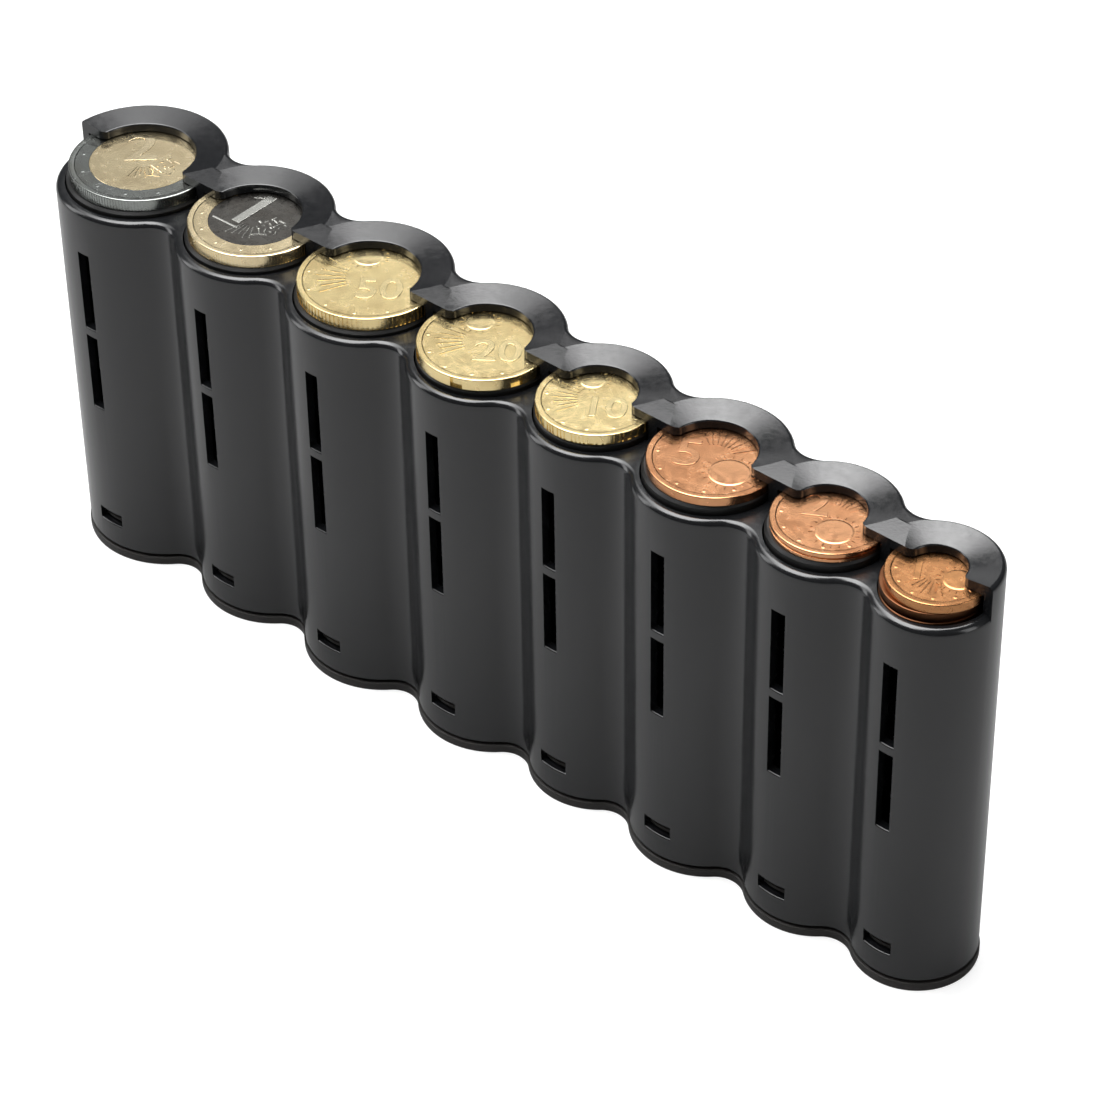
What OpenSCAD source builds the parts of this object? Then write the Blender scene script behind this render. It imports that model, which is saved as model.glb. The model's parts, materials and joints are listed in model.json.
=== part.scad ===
// Coin holder with eight spring-loaded tubes in a row, one for each size of coin.
// The row runs along X, with the largest coin's tube at the left end and the smallest coin's at
// the right end. The open front faces -Y, and the origin is on the ground under the row's middle.

/* [Coins] */
// Diameter of the coins in tube 1
coin_1_d = 25.75; // [24:0.05:28]
// Thickness of the coins in tube 1
coin_1_t = 2.2; // [1.6:0.01:2.4]
// Diameter of the inner disc of the coins in tube 1
coin_1_core_d = 18.75; // [16:0.05:20]
// Diameter of the coins in tube 2
coin_2_d = 23.25; // [22:0.05:26]
// Thickness of the coins in tube 2
coin_2_t = 2.33; // [1.6:0.01:2.4]
// Diameter of the inner disc of the coins in tube 2
coin_2_core_d = 16.25; // [14:0.05:18]
// Diameter of the coins in tube 3
coin_3_d = 24.25; // [22:0.05:26]
// Thickness of the coins in tube 3
coin_3_t = 2.38; // [1.6:0.01:2.4]
// Diameter of the coins in tube 4
coin_4_d = 22.25; // [20:0.05:25]
// Thickness of the coins in tube 4
coin_4_t = 2.14; // [1.6:0.01:2.4]
// Diameter of the coins in tube 5
coin_5_d = 19.75; // [18:0.05:23]
// Thickness of the coins in tube 5
coin_5_t = 1.93; // [1.5:0.01:2.4]
// Diameter of the coins in tube 6
coin_6_d = 21.25; // [19:0.05:24]
// Thickness of the coins in tube 6
coin_6_t = 1.67; // [1.5:0.01:2.4]
// Diameter of the coins in tube 7
coin_7_d = 18.75; // [17:0.05:22]
// Thickness of the coins in tube 7
coin_7_t = 1.67; // [1.5:0.01:2.4]
// Diameter of the coins in tube 8
coin_8_d = 16.25; // [15.5:0.05:20]
// Thickness of the coins in tube 8
coin_8_t = 1.67; // [1.5:0.01:2.4]
// Width of the raised rim round a coin's faces
coin_rim_w = 0.9; // [0.4:0.1:1.5]
// Height of the raised rim over a coin's faces
coin_rim_h = 0.12; // [0.05:0.01:0.2]
// Distance that each coin lies off the middle of its tube
coin_shift = 0.4; // [0:0.05:0.5]

/* [Tubes] */
// Gap between a coin's edge and the bore of its tube when the coin is in the middle
coin_gap = 0.57; // [0.5:0.01:1]
// Thickness of the outer walls
wall = 1.58; // [1.2:0.02:2.4]
// Thickness of the wall between two neighbouring bores
web = 1.81; // [1.2:0.01:3]
// Radius of the hollow between two neighbouring tubes, outside
valley_r = 4.8; // [3:0.1:8]
// Radius of the front rim's rounded outer edge
rim_edge_r = 1.1; // [0.6:0.05:1.4]

/* [Heights] */
// Height of the front rim over the ground
rim_z = 73.2; // [65:0.1:90]
// Height of the mouth between the front rim and the collar's lip
mouth_h = 3.2; // [2.6:0.05:4]

/* [Collar] */
// Distance that the lip reaches in over a coin from the coin's edge
lip_reach = 3.5; // [2:0.1:4.5]
// Thickness of the lip at its inner edge
lip_t = 1.4; // [1:0.05:2.5]
// Rise of the dished top from the lip's inner edge to the outer edge
dish_rise = 0.75; // [0.3:0.05:1.2]
// Radius of the collar's rounded outer edge
collar_edge_r = 1; // [0.3:0.1:1.4]
// Radius of the corners where the lip meets the straight front edge
lip_corner_r = 1.5; // [0.5:0.1:2]
// Depth of the sloping pads on the front edge, from front to back
pad_depth = 4.2; // [2:0.1:6]
// Thickness of the lip at a pad's front edge
pad_front_t = 1.5; // [1.2:0.05:2]
// Rise of a pad from its front edge to its back edge
pad_rise = 0.55; // [0.2:0.05:0.6]
// Distance by which a pad's left side draws in towards the back
pad_draw_left = 1.4; // [0:0.1:2]
// Distance by which a pad's right side draws in towards the back
pad_draw_right = 3.4; // [0:0.1:4]

/* [Slots] */
// Width of the sight slots
slot_w = 2.72; // [1.5:0.02:4]
// Height of the lower slot's bottom over the ground
slot_z = 32.3; // [15:0.1:40]
// Height of the lower slot
slot_low_h = 15.2; // [8:0.1:16]
// Height of the bar between the lower slot and the upper slot
slot_bar_h = 1.6; // [1:0.1:3]
// Height of the upper slot
slot_high_h = 15.6; // [8:0.1:17]
// Width of the latch windows
window_w = 5.47; // [3:0.01:6]
// Height of the latch windows' bottom over the ground
window_z = 6.7; // [5.5:0.1:10]
// Height of the latch windows
window_h = 2.6; // [2:0.1:4]

/* [Base cover] */
// Thickness of the cover's plate
cover_t = 1.7; // [1.2:0.1:3]
// Distance that the plate stands out past the walls
cover_proud = 0.2; // [0.05:0.05:0.6]
// Height of the open seam between the plate and the walls
seam_h = 0.3; // [0.1:0.05:0.6]
// Depth of the open seam
seam_depth = 0.6; // [0.3:0.05:1]
// Height of the round plugs that sit in the bores
plug_h = 1.4; // [1:0.1:3]
// Clearance between a plug or a latch and its bore
plug_clear = 0.1; // [0.05:0.01:0.2]
// Height of the pegs that hold the springs in place
peg_h = 2.4; // [1:0.1:4]
// Thickness of the latches
latch_t = 1.1; // [0.8:0.05:1.5]
// Distance that a latch's nose reaches into its window
latch_nose = 0.45; // [0.2:0.05:1]
// Height of a latch's nose
latch_nose_h = 1.1; // [0.6:0.1:1.8]
// Clearance of a latch's nose in its window
latch_clear = 0.3; // [0.1:0.05:0.4]

/* [Followers] */
// Clearance between a follower and its bore
follower_clear = 0.3; // [0.1:0.05:0.5]
// Height of a follower
follower_h = 9; // [6:0.1:11]
// Thickness of a follower's top plate
follower_plate_t = 1.6; // [1:0.1:3]
// Thickness of a follower's skirt
follower_skirt_t = 1.2; // [0.8:0.05:2]

/* [Springs] */
// Diameter of the spring wire
wire_d = 0.7; // [0.5:0.05:0.9]
// Number of turns of each spring
spring_turns = 10; // [6:1:11]
// Clearance between a spring and the follower's skirt
spring_clear = 1; // [0.5:0.1:1.5]
// Clearance between a spring and the peg inside it
peg_clear = 0.4; // [0.2:0.1:1]

/* [Hidden] */
$fn = 96;

coin_d = [coin_1_d, coin_2_d, coin_3_d, coin_4_d, coin_5_d, coin_6_d, coin_7_d, coin_8_d];
coin_t = [coin_1_t, coin_2_t, coin_3_t, coin_4_t, coin_5_t, coin_6_t, coin_7_t, coin_8_t];
core_d = [coin_1_core_d, coin_2_core_d];
last = len(coin_d);

// Coins in each tube, and the angle in the plan towards which each top coin lies off the middle
stack = [1, 1, 1, 1, 1, 1, 1, 3];
top_lean = [90, 80, 100, 295, 305, 25, 50, 75];
// The coins below lie off the middle to the left, each a little further round
under_lean = 150;
under_lean_step = 20;

// Small distances that are common to all tubes. An arc that runs into another bites a little
// into it, so that the faces cross there and don't graze each other.
bite = 0.03;
eps = 0.01;
past = 1;
rest_gap = 0.05;
core_gap = 0.02;
coin_edge = 0.15;
follower_edge = 0.4;

// Levels over the ground
block_z = cover_t + seam_h;
lip_z = rim_z + mouth_h;
dish_z = lip_z + lip_t;
top_z = dish_z + dish_rise;
floor_z = block_z + plug_h;
latch_top_z = window_z + window_h - latch_clear;
slot_high_z = slot_z + slot_low_h + slot_bar_h;

// Colours
plastic = [0.16, 0.16, 0.165];
dark_plastic = [0.1, 0.1, 0.1];
steel = [0.3, 0.3, 0.31];
silver = [0.62, 0.61, 0.58];
gold = [0.85, 0.7, 0.4];
copper = [0.78, 0.48, 0.33];
coin_colours = [silver, gold, gold, gold, gold, copper, copper, copper];

// Radii and places of the tubes, which are numbered from 1 at the left
function coin_r(i) = coin_d[i - 1] / 2;
function bore_r(i) = coin_r(i) + coin_gap;
function tube_r(i) = bore_r(i) + wall;
function pitch(i) = bore_r(i) + web + bore_r(i + 1);
function run(i) = i <= 1 ? 0 : run(i - 1) + pitch(i - 1);
row_l = tube_r(1) + run(last) + tube_r(last);
function tube_x(i) = tube_r(1) - row_l / 2 + run(i);

// Centre of the hollow's arc between tubes i and i + 1, seen from the axis of tube i
function arc_x(i) = (pitch(i) ^ 2 + (tube_r(i) + valley_r) ^ 2 - (tube_r(i + 1) + valley_r) ^ 2)
    / (2 * pitch(i));
function arc_y(i) = sqrt((tube_r(i) + valley_r) ^ 2 - arc_x(i) ^ 2);

// Radii inside a tube
function cut_r(i) = coin_r(i) - lip_reach;
function follower_r(i) = bore_r(i) - follower_clear;
function skirt_in_r(i) = follower_r(i) - follower_skirt_t;
function spring_r(i) = skirt_in_r(i) - spring_clear - wire_d / 2;
// The wire's middle line has straight steps, which lie further in at their middles
function peg_r(i) = spring_r(i) * cos(180 / turn_steps) - wire_d / 2 - peg_clear;

// Levels of the coins, counted from the top coin as 1, and of the follower under them
function coin_z(i, k) = lip_z - rest_gap - k * coin_t[i - 1];
function follower_z(i) = coin_z(i, stack[i - 1]);
function lean(i, k) = k == 1 ? top_lean[i - 1] : under_lean + k * under_lean_step;

// Plan of the whole row, grown outwards by a distance
module row_plan(grow) {
    for (i = [1 : last])
        translate([tube_x(i), 0])
            circle(r = tube_r(i) + grow);
    for (i = [1 : last - 1])
        translate([tube_x(i), 0])
            difference() {
                web_plan(i);
                for (side = [-1, 1])
                    translate([arc_x(i), side * arc_y(i)])
                        circle(r = valley_r + bite - grow);
            }
}

// Four-sided plan between two tube axes and the two arc centres
module web_plan(i) {
    polygon([[0, 0], [arc_x(i), -arc_y(i)], [pitch(i), 0], [arc_x(i), arc_y(i)]]);
}

// Row with its outer edge rounded at the top, from one level to another
module rounded_row(z0, z1, edge) {
    for (i = [1 : last])
        translate([tube_x(i), 0, z0])
            rounded_post(tube_r(i), z1 - z0, edge);
    for (i = [1 : last - 1])
        translate([tube_x(i), 0, z0])
            difference() {
                linear_extrude(z1 - z0)
                    web_plan(i);
                for (side = [-1, 1])
                    translate([arc_x(i), side * arc_y(i), 0])
                        flared_post(z1 - z0, edge);
            }
}

// Round post whose top edge is rounded
module rounded_post(r, h, edge) {
    rotate_extrude() {
        square([r - edge, h]);
        square([r, h - edge]);
        translate([r - edge, h - edge])
            intersection() {
                circle(r = edge);
                square(edge);
            }
    }
}

// Cutter for the hollow between two tubes, flared at its top to round the edge
module flared_post(h, edge) {
    r = valley_r + bite;
    rotate_extrude() {
        translate([0, -past])
            square([r, h + 2 * past]);
        difference() {
            translate([0, h - edge])
                square([r + edge, edge + past]);
            translate([r + edge, h - edge])
                circle(r = edge);
        }
    }
}

// Half space behind or in front of the row's middle plane, at all levels of the collar
module half(side) {
    translate([-row_l, side > 0 ? 0 : -row_l, 0])
        cube([2 * row_l, row_l, top_z + past]);
}

// Plan of the thumb cut-out over a coin, with rounded corners at the front edge
module cut_plan(i) {
    c = cut_r(i);
    fx = sqrt((c + lip_corner_r) ^ 2 - lip_corner_r ^ 2);
    circle(r = c);
    for (side = [0, 1])
        mirror([side, 0])
            difference() {
                polygon([[0, 0], [c, -past], [fx, -past], [fx, lip_corner_r]]);
                translate([fx, lip_corner_r])
                    circle(r = lip_corner_r + bite);
            }
}

// Bore of a tube, the cut-out in the lip over it, and the dish of the collar's top, which runs
// out a little inside the outer wall, in the rounded edge
module bore_cut(i) {
    translate([0, 0, block_z - past])
        cylinder(r = bore_r(i), h = lip_z - block_z + past);
    translate([0, 0, lip_z - eps])
        linear_extrude(top_z - lip_z + past)
            cut_plan(i);
    crest_r = tube_r(i) - collar_edge_r / 2;
    rotate_extrude()
        polygon([[0, dish_z], [cut_r(i), dish_z], [crest_r, top_z],
            [crest_r, top_z + past], [0, top_z + past]]);
}

// Sloping pad on the collar's front edge between tubes i and i + 1
module pad_cut(i) {
    x0 = cut_r(i);
    x1 = pitch(i) - cut_r(i + 1);
    z0 = lip_z + pad_front_t;
    z1 = z0 + pad_rise;
    intersection() {
        translate([0, 0, dish_z])
            linear_extrude(top_z - dish_z + past)
                polygon([[x0, -past], [x1, -past], [x1, 0], [x1 - pad_draw_right, pad_depth],
                    [x0 + pad_draw_left, pad_depth], [x0, 0]]);
        translate([x0 - past, 0, 0])
            rotate([90, 0, 90])
                linear_extrude(x1 - x0 + 2 * past)
                    polygon([[-2 * past, z0], [0, z0], [pad_depth, z1],
                        [pad_depth + past, z1], [pad_depth + past, top_z + 2 * past],
                        [-2 * past, top_z + 2 * past]]);
    }
}

// Sight slots and latch window in the front of a tube
module front_cuts(i) {
    for (cut = [[slot_w, slot_z, slot_low_h], [slot_w, slot_high_z, slot_high_h],
            [window_w, window_z, window_h]])
        translate([-cut[0] / 2, -tube_r(i) - past, cut[1]])
            cube([cut[0], wall + past + bore_r(i) / 2, cut[2]]);
}

module tube_block() {
    color(plastic)
        difference() {
            union() {
                translate([0, 0, block_z])
                    linear_extrude(rim_z - rim_edge_r - block_z)
                        row_plan(0);
                intersection() {
                    rounded_row(rim_z - 2 * rim_edge_r, rim_z, rim_edge_r);
                    half(-1);
                }
                intersection() {
                    rounded_row(rim_z - 2 * rim_edge_r, top_z, collar_edge_r);
                    half(1);
                }
            }
            for (i = [1 : last])
                translate([tube_x(i), 0, 0]) {
                    bore_cut(i);
                    front_cuts(i);
                }
            for (i = [1 : last - 1])
                translate([tube_x(i), 0, 0])
                    pad_cut(i);
        }
}

// Latch that stands at the front of a plug and snaps into the window
module latch(i) {
    w = window_w - 2 * latch_clear;
    out_r = bore_r(i) - plug_clear;
    intersection() {
        translate([-w / 2, -tube_r(i), 0])
            cube([w, tube_r(i), latch_top_z]);
        union() {
            difference() {
                translate([0, 0, floor_z - eps])
                    cylinder(r = out_r, h = latch_top_z - floor_z + eps);
                cylinder(r = out_r - latch_t, h = top_z);
            }
            difference() {
                translate([0, 0, window_z + latch_clear])
                    cylinder(r = bore_r(i) + latch_nose, h = latch_nose_h);
                cylinder(r = out_r - latch_t / 2, h = top_z);
            }
        }
    }
}

module base_cover() {
    color(dark_plastic) {
        linear_extrude(cover_t)
            row_plan(cover_proud);
        linear_extrude(block_z)
            row_plan(-seam_depth);
        for (i = [1 : last])
            translate([tube_x(i), 0, 0]) {
                cylinder(r = bore_r(i) - plug_clear, h = floor_z);
                cylinder(r = peg_r(i), h = floor_z + peg_h);
                latch(i);
            }
    }
}

module follower(i) {
    r = follower_r(i);
    color(dark_plastic)
        translate([tube_x(i), 0, follower_z(i) - follower_h])
            rotate_extrude()
                polygon([
                    [0, follower_h - follower_plate_t],
                    [skirt_in_r(i), follower_h - follower_plate_t],
                    [skirt_in_r(i), 0],
                    [r - follower_edge, 0],
                    [r, follower_edge],
                    [r, follower_h - follower_edge],
                    [r - follower_edge, follower_h],
                    [0, follower_h]
                ]);
}

// Middle line of a spring: a helix from just over the cover to just under the follower, with
// a short straight run at each end
turn_steps = 8;
wire_sides = 6;
function spring_low(i) = floor_z + rest_gap + wire_d / 2;
function spring_high(i) = follower_z(i) - follower_plate_t - rest_gap - wire_d / 2;
function rise_per_turn(i) = (spring_high(i) - spring_low(i)) / spring_turns;
function helix(i, s) = [
    spring_r(i) * cos(360 * s),
    spring_r(i) * sin(360 * s),
    spring_low(i) + rise_per_turn(i) * s
];
function unit(v) = v / norm(v);
function wire_dir(i, s) = unit([
    -2 * PI * spring_r(i) * sin(360 * s),
    2 * PI * spring_r(i) * cos(360 * s),
    rise_per_turn(i)
]);
function level_dir(i, s) = [-sin(360 * s), cos(360 * s), 0];
function wire_points(i) = [
    helix(i, 0) - wire_d * level_dir(i, 0),
    for (n = [0 : spring_turns * turn_steps]) helix(i, n / turn_steps),
    helix(i, spring_turns) + wire_d * level_dir(i, spring_turns)
];
function wire_rings(i) = let (points = wire_points(i), count = len(points)) [
    for (n = [0 : count - 1])
        let (
            s = min(max(n - 1, 0), count - 3) / turn_steps,
            at_end = n == 0 || n == count - 1,
            along = at_end ? level_dir(i, s) : wire_dir(i, s),
            out = [cos(360 * s), sin(360 * s), 0],
            up = cross(out, along)
        )
        for (k = [0 : wire_sides - 1])
            points[n] + wire_d / 2 * (cos(360 * k / wire_sides) * out
                + sin(360 * k / wire_sides) * up)
];
function side_faces(rings) = [
    for (n = [0 : rings - 2], k = [0 : wire_sides - 1])
        let (
            a = n * wire_sides + k,
            b = n * wire_sides + (k + 1) % wire_sides,
            c = a + wire_sides,
            d = b + wire_sides
        )
        each [[a, c, b], [b, c, d]]
];
function cap_faces(rings) = [
    for (k = [1 : wire_sides - 2])
        each [[0, k, k + 1],
            [(rings - 1) * wire_sides, (rings - 1) * wire_sides + k + 1,
                (rings - 1) * wire_sides + k]]
];

// Least gap between neighbouring turns of a spring, measured between points of its middle line
function turn_gap(i) = min([
    for (n = [0 : (spring_turns - 1) * turn_steps])
        norm(helix(i, n / turn_steps + 1) - helix(i, n / turn_steps)) - wire_d
]);

module spring(i) {
    rings = spring_turns * turn_steps + 3;
    echo(spring = i, least_gap_mm = turn_gap(i));
    color(steel)
        translate([tube_x(i), 0, 0])
            polyhedron(points = wire_rings(i), faces = concat(side_faces(rings), cap_faces(rings)));
}

// Moves a coin to its level and off the middle of its tube
module coin_place(i, k) {
    translate([tube_x(i) + coin_shift * cos(lean(i, k)), coin_shift * sin(lean(i, k)),
            coin_z(i, k)])
        children();
}

// Coin with a raised rim round both faces
module coin(i, k) {
    r = coin_r(i);
    t = coin_t[i - 1];
    in_r = r - coin_rim_w;
    coin_place(i, k)
        rotate_extrude()
            polygon([
                [0, coin_rim_h], [in_r - coin_rim_h, coin_rim_h], [in_r, 0], [r - coin_edge, 0],
                [r, coin_edge], [r, t - coin_edge],
                [r - coin_edge, t], [in_r, t], [in_r - coin_rim_h, t - coin_rim_h],
                [0, t - coin_rim_h]
            ]);
}

// Outer ring of a coin made of two metals
module coin_ring(i, k) {
    difference() {
        coin(i, k);
        coin_place(i, k)
            translate([0, 0, -past])
                cylinder(d = core_d[i - 1] + core_gap, h = coin_t[i - 1] + 2 * past);
    }
}

// Inner disc of a coin made of two metals
module coin_core(i, k) {
    coin_place(i, k)
        translate([0, 0, coin_rim_h])
            cylinder(d = core_d[i - 1] - core_gap, h = coin_t[i - 1] - 2 * coin_rim_h);
}

module top_coin_ring(i) {
    color(i == 1 ? silver : gold)
        coin_ring(i, 1);
}

module top_coin_core(i) {
    color(i == 1 ? gold : silver)
        coin_core(i, 1);
}

module top_coin(i) {
    color(coin_colours[i - 1])
        coin(i, 1);
}

module under_coin(i, k) {
    color(coin_colours[i - 1])
        coin(i, k);
}

tube_block();
base_cover();
for (i = [1 : last]) follower(i);
for (i = [1 : last]) spring(i);
for (i = [1, 2]) top_coin_ring(i);
for (i = [1, 2]) top_coin_core(i);
for (i = [3 : last]) top_coin(i);
for (k = [2 : stack[last - 1]])
    under_coin(last, k);
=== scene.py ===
"""Coin holder with eight sprung tubes, dressed in moulded plastic, drawn wire and struck metal.

The row runs along X with the largest tube at the left, the thumb side faces -Y, and the ground is
Z = 0. Pieces are shaped in millimetres, and each one is scaled to metres when it is finished.
"""

import json
import logging
import math
import sys
from collections.abc import Callable, Iterator
from contextlib import contextmanager
from dataclasses import dataclass, field
from enum import Enum

import bmesh
import bpy
from mathutils import Matrix, Vector

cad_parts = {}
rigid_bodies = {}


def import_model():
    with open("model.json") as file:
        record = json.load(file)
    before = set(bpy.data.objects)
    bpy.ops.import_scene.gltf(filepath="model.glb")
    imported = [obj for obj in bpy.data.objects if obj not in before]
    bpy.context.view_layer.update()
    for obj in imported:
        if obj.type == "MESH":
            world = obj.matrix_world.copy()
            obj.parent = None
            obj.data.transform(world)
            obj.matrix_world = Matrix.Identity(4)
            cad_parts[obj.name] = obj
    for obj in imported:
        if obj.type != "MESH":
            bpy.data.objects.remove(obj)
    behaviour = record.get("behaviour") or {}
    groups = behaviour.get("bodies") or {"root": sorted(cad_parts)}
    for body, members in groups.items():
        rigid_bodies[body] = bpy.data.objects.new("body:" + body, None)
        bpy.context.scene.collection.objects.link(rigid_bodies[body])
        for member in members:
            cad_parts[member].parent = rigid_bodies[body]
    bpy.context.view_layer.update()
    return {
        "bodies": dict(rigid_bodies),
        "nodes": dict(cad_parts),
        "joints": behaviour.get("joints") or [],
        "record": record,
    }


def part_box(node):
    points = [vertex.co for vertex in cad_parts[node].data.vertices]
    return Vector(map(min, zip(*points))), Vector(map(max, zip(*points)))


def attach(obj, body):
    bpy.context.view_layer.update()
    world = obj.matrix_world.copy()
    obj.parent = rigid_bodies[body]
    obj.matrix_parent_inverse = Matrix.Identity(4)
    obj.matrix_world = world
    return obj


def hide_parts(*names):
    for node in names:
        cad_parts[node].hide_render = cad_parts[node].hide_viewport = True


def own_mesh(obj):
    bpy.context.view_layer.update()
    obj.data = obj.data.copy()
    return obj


LOG = logging.getLogger("coin_holder")

# A millimetre in metres.
MM = 0.001
# Small distance in millimetres, within which two levels count as the same.
NEAR = 0.01
# How far a cutter reaches past what it cuts, in millimetres.
BEYOND = 1.0
# Angles in degrees from which an edge stays sharp on moulded, struck and drawn pieces.
MOULDED_SHARP = 28
STRUCK_SHARP = 16
DRAWN_SHARP = 50

Piece = bpy.types.Object
Finish = bpy.types.Material
Socket = bpy.types.NodeSocket
Pair = tuple[float, float]
Triple = tuple[float, float, float]
Colour = tuple[float, float, float]
Plan = list[Pair]
Test = Callable[[Vector, Vector], bool]


class Cut(Enum):
    """How one form is put to another."""

    AWAY = "DIFFERENCE"
    TOGETHER = "UNION"


class Kind(Enum):
    """What is picked in edit mode."""

    FACES = "FACE"
    EDGES = "EDGE"


def deselect() -> None:
    """Leaves edit mode and lets go of every object."""
    if bpy.context.object and bpy.context.object.mode != "OBJECT":
        bpy.ops.object.mode_set(mode="OBJECT")
    bpy.ops.object.select_all(action="DESELECT")


def take(piece: Piece) -> None:
    """Selects one object alone and makes it active."""
    deselect()
    piece.select_set(True)
    bpy.context.view_layer.objects.active = piece


@contextmanager
def editing(piece: Piece, kind: Kind = Kind.FACES) -> Iterator[None]:
    """Opens a piece in edit mode with nothing selected, and closes it again.

    Args:
        piece: The object to edit.
        kind: Whether faces or edges are picked.

    Yields:
        Nothing; the edit lasts as long as the block.
    """
    take(piece)
    bpy.ops.object.mode_set(mode="EDIT")
    bpy.ops.mesh.select_mode(type=kind.value)
    bpy.ops.mesh.select_all(action="DESELECT")
    yield
    bpy.ops.object.mode_set(mode="OBJECT")


def pick(piece: Piece, wanted: Test, kind: Kind = Kind.FACES) -> int:
    """Selects the faces or edges of the edited piece that a test accepts.

    Args:
        piece: The object in edit mode.
        wanted: Test of a face's middle and normal, or of an edge's two ends.
        kind: Whether faces or edges are picked.

    Returns:
        The number picked.
    """
    mesh = bmesh.from_edit_mesh(piece.data)
    count = 0
    for part in mesh.faces if kind is Kind.FACES else mesh.edges:
        if kind is Kind.FACES:
            chosen = wanted(part.calc_center_median(), part.normal)
        else:
            chosen = wanted(part.verts[0].co, part.verts[1].co)
        part.select_set(chosen)
        count += chosen
    bmesh.update_edit_mesh(piece.data)
    return count


def apply_place(piece: Piece) -> None:
    """Puts the place, turn and scale of an object into its mesh."""
    take(piece)
    bpy.ops.object.transform_apply(location=True, rotation=True, scale=True)


def modify(piece: Piece, kind: str, **values: object) -> None:
    """Adds a modifier to a piece and applies it.

    Args:
        piece: The piece to change.
        kind: Type of the modifier.
        values: Its settings by their own names.
    """
    take(piece)
    bpy.ops.object.modifier_add(type=kind)
    step = piece.modifiers[-1]
    for key, value in values.items():
        setattr(step, key, value)
    bpy.ops.object.modifier_apply(modifier=step.name)


def outward(piece: Piece) -> Piece:
    """Turns all faces of a closed piece outwards.

    Args:
        piece: The closed form.

    Returns:
        The same object.
    """
    with editing(piece):
        bpy.ops.mesh.select_all(action="SELECT")
        bpy.ops.mesh.normals_make_consistent(inside=False)
    return piece


def plate(name: str, outline: Plan, low: float, high: float) -> Piece:
    """Upright-sided form over a closed outline.

    Args:
        name: Name of the new object.
        outline: Corners of the plan, in order.
        low: Level of the underside.
        high: Level of the top.

    Returns:
        The new closed form.
    """
    deselect()
    bpy.ops.mesh.primitive_circle_add(vertices=len(outline), radius=1, fill_type="NGON")
    piece = bpy.context.object
    piece.name = piece.data.name = name
    for corner, (x, y) in zip(piece.data.vertices, outline):
        corner.co = (x, y, low)
    with editing(piece):
        bpy.ops.mesh.select_all(action="SELECT")
        bpy.ops.mesh.extrude_region_move(TRANSFORM_OT_translate={"value": (0, 0, high - low)})
    return outward(piece)


def turned(name: str, profile: Plan, centre: Pair = (0, 0), around: int = 96) -> Piece:
    """Round form drawn up from a disc, step by step along its profile.

    Args:
        name: Name of the new object.
        profile: Radius and level of each step, from the underside to the top.
        centre: Place of the axis.
        around: Number of sides.

    Returns:
        The new closed form.
    """
    deselect()
    radius, level = profile[0]
    bpy.ops.mesh.primitive_circle_add(
        vertices=around, radius=radius, fill_type="NGON", location=(*centre, level)
    )
    piece = bpy.context.object
    piece.name = piece.data.name = name
    apply_place(piece)
    with editing(piece):
        bpy.ops.mesh.select_all(action="SELECT")
        for next_radius, next_level in profile[1:]:
            bpy.ops.mesh.extrude_region_move(
                TRANSFORM_OT_translate={"value": (0, 0, next_level - level)}
            )
            grow = next_radius / radius
            bpy.ops.transform.resize(value=(grow, grow, 1), center_override=(*centre, next_level))
            radius, level = next_radius, next_level
    return outward(piece)


def block(name: str, low: Triple, high: Triple) -> Piece:
    """Straight block between two corners.

    Args:
        name: Name of the new object.
        low: Lowest corner.
        high: Highest corner.

    Returns:
        The new closed form.
    """
    corners = [(low[0], low[1]), (high[0], low[1]), (high[0], high[1]), (low[0], high[1])]
    return plate(name, corners, low[2], high[2])


def round_edges(piece: Piece, wanted: Test, radius: float, steps: int) -> None:
    """Rounds the edges that a test accepts.

    Args:
        piece: The object to round.
        wanted: Test of an edge's two end points.
        radius: Radius of the rounding.
        steps: Number of faces across it.
    """
    with editing(piece, Kind.EDGES):
        pick(piece, wanted, Kind.EDGES)
        bpy.ops.mesh.bevel(offset=radius, segments=steps, profile=0.5, clamp_overlap=False)


def round_top(piece: Piece, level: float, radius: float, steps: int) -> None:
    """Rounds the edge all round the top of a plate.

    Args:
        piece: The plate.
        level: Level of its top.
        radius: Radius of the rounding.
        steps: Number of faces across it.
    """
    round_edges(piece, lambda a, b: min(a.z, b.z) > level - NEAR, radius, steps)


def join(name: str, pieces: list[Piece]) -> Piece:
    """Makes one object of several.

    Args:
        name: Name of the joined object.
        pieces: The objects, the first of which takes in the others.

    Returns:
        The joined object.
    """
    take(pieces[0])
    for piece in pieces[1:]:
        piece.select_set(True)
    if len(pieces) > 1:
        bpy.ops.object.join()
    pieces[0].name = pieces[0].data.name = name
    return pieces[0]


def carve(piece: Piece, tool: Piece, cut: Cut) -> None:
    """Puts a form to a piece or takes it away, and uses the form up.

    Args:
        piece: The piece that stays.
        tool: The form that is used up.
        cut: Whether it is added or taken away.
    """
    modify(piece, "BOOLEAN", operation=cut.value, solver="EXACT", object=tool)
    bpy.data.objects.remove(tool)


def smooth(piece: Piece, angle: float) -> None:
    """Shades a piece smoothly, but for edges sharper than an angle.

    Args:
        piece: The piece.
        angle: Angle in degrees from which an edge stays sharp.
    """
    take(piece)
    bpy.ops.object.shade_smooth_by_angle(angle=math.radians(angle))


def crease(piece: Piece, wanted: Test) -> None:
    """Keeps the border of a group of faces sharp, so that it shades on its own.

    Args:
        piece: The shaded piece.
        wanted: Says for a face's middle and normal whether it is in the group.
    """
    with editing(piece):
        if pick(piece, wanted):
            bpy.ops.mesh.region_to_loop()
            bpy.ops.mesh.mark_sharp()


def paint(piece: Piece, finish: Finish) -> Piece:
    """Gives a piece one finish all over.

    Args:
        piece: The piece.
        finish: Its new and only material.

    Returns:
        The same object.
    """
    piece.data.materials.clear()
    piece.data.materials.append(finish)
    return piece


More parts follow.
